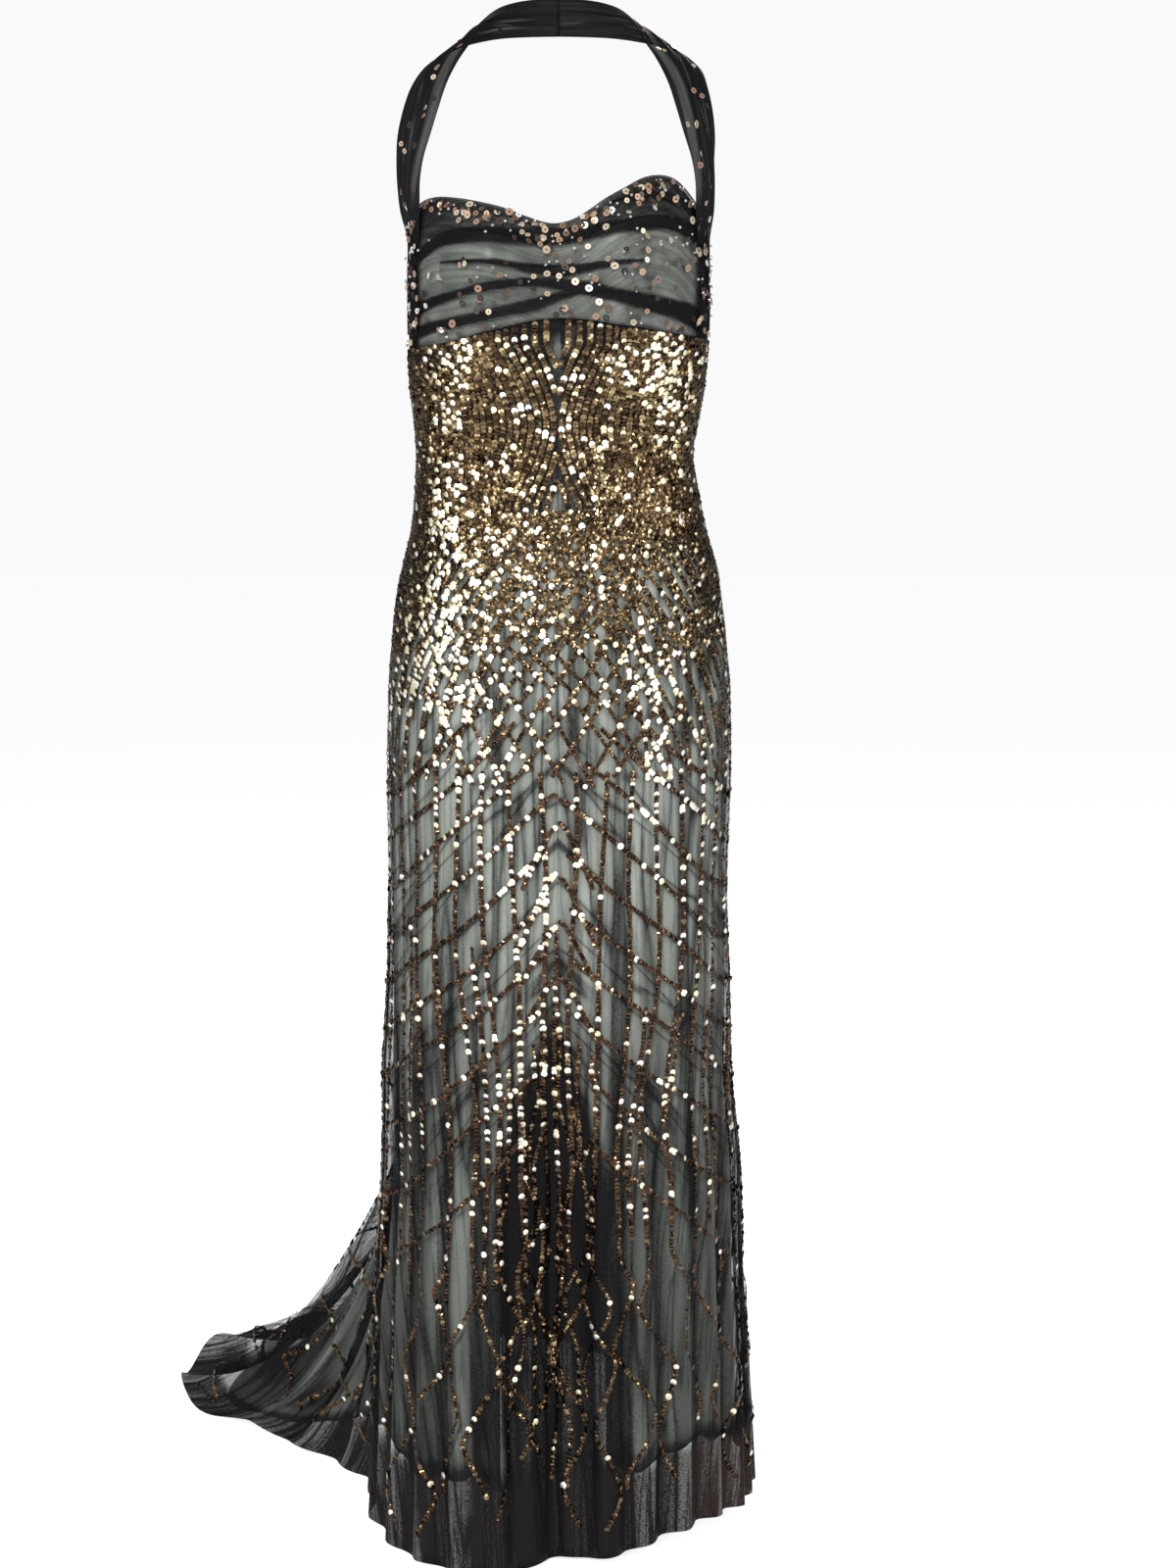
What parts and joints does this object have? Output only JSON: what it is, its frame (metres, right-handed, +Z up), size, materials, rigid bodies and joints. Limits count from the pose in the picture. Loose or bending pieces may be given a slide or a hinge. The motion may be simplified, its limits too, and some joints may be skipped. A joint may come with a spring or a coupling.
{
  "type": "evening gown",
  "caption": "Floor-length halter evening gown with a sweetheart neck, a gathered net bust, a fitted body, a folded skirt and a train swept to one side.",
  "frame": {"origin": "middle of the halter band at the nape, which is where the gown hangs from", "axes": "+Z up, -Y out of the front, +X to the wearer's left"},
  "size_m": [0.6456, 0.8069, 1.5109],
  "materials": {
    "black_net": "sheer soft net, gathered, matt",
    "beaded_net": "sheer soft net that carries beaded strands",
    "lining_satin": "grey-green satin, soft sheen",
    "sequins": "cupped metallised sequins, bronze, copper and pale gold",
    "paillettes": "flat pearly discs with a centre hole",
    "beads": "small dark bronze seed beads"
  },
  "bodies": {
    "root": {"bust_drape": "black_net", "bust_lining": "lining_satin", "back_band_left": "black_net", "back_band_right": "black_net", "strap_left": "black_net", "strap_right": "black_net", "skirt_front": "beaded_net", "skirt_back_left": "beaded_net", "skirt_back_right": "beaded_net", "lining_front_left": "lining_satin", "lining_front_right": "lining_satin", "lining_back_left": "lining_satin", "lining_back_right": "lining_satin"}
  },
  "joints": []
}
